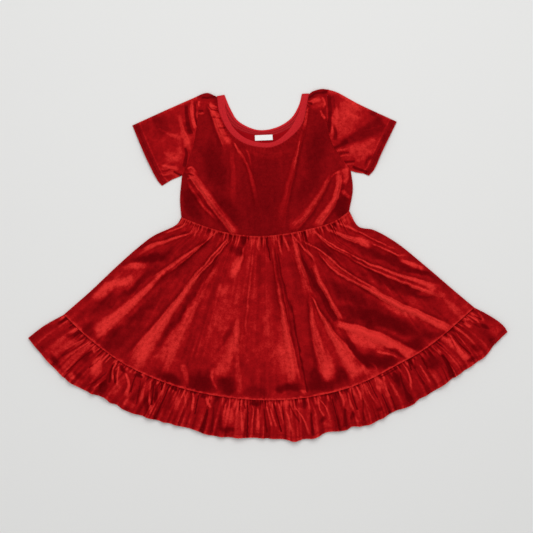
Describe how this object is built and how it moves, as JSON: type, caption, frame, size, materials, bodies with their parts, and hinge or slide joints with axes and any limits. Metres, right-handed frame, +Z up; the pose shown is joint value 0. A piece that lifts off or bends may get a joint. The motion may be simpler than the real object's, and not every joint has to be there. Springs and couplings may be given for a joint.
{
  "type": "toddler party dress",
  "caption": "Toddler's red velvet party dress laid flat, with a scoop neck band, short sleeves, a gathered flared skirt and a ruffled hem.",
  "frame": {"origin": "bottom centre of the laid-flat dress, on the surface that it rests on", "axes": "+X across the dress to the right as seen from above, +Y from the hem to the neck, +Z up from the surface"},
  "size_m": [0.718, 0.5284, 0.0115],
  "materials": {
    "velvet": "crushed stretch velvet with a soft sheen",
    "neck_rib": "matte rib knit",
    "label": "plain woven tape"
  },
  "bodies": {
    "root": {"bodice_front": "velvet", "bodice_back": "velvet", "sleeve_left": "velvet", "sleeve_right": "velvet", "neck_band": "neck_rib", "skirt_front": "velvet", "skirt_back": "velvet", "ruffle_front": "velvet", "ruffle_back": "velvet", "neck_label": "label"}
  },
  "joints": []
}
